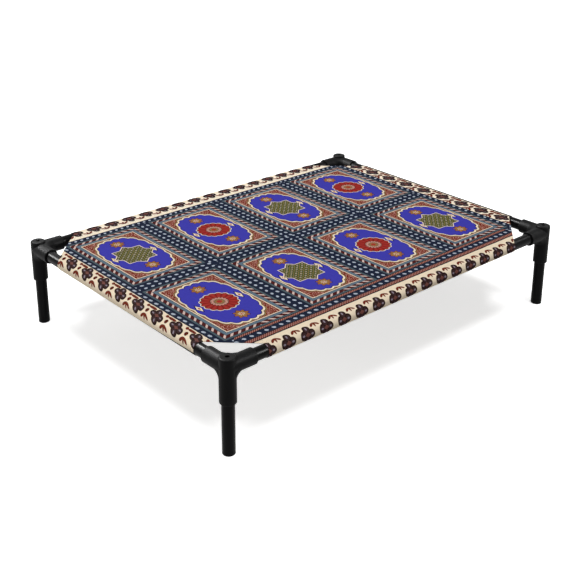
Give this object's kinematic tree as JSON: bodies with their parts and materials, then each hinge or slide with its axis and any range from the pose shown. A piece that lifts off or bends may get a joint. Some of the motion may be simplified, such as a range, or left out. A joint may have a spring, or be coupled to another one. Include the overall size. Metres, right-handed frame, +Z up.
{
  "type": "raised dog cot",
  "caption": "Low rectangular pet cot: a canvas sling stretched over a tube frame with moulded corner fittings on short tube legs.",
  "frame": {"origin": "on the floor, under the middle of the cot", "axes": "+X along the cot's length, +Y along its width towards the back rail, +Z up"},
  "size_m": [1.016, 0.752, 0.21],
  "materials": {
    "moulded_fitting": "satin black moulded plastic with a fine grain",
    "frame_tube": "smooth black extruded plastic tube",
    "foot_plug": "dull black moulded plastic",
    "insert_plug": "dull black moulded plastic",
    "black_screw": "black oxide steel",
    "printed_canvas": "plain woven canvas with a printed carpet pattern"
  },
  "bodies": {
    "root": {"sling": "printed_canvas", "rail_front": "frame_tube", "rail_back": "frame_tube", "rail_left": "frame_tube", "rail_right": "frame_tube", "corner_fitting_front_left": "moulded_fitting", "corner_fitting_front_right": "moulded_fitting", "corner_fitting_back_left": "moulded_fitting", "corner_fitting_back_right": "moulded_fitting", "leg_front_left": "frame_tube", "leg_front_right": "frame_tube", "leg_back_left": "frame_tube", "leg_back_right": "frame_tube", "leg_insert_front_left": "insert_plug", "leg_insert_front_right": "insert_plug", "leg_insert_back_left": "insert_plug", "leg_insert_back_right": "insert_plug", "leg_screw_front_left": "black_screw", "leg_screw_front_right": "black_screw", "leg_screw_back_left": "black_screw", "leg_screw_back_right": "black_screw", "foot_front_left": "foot_plug", "foot_front_right": "foot_plug", "foot_back_left": "foot_plug", "foot_back_right": "foot_plug"}
  },
  "joints": []
}
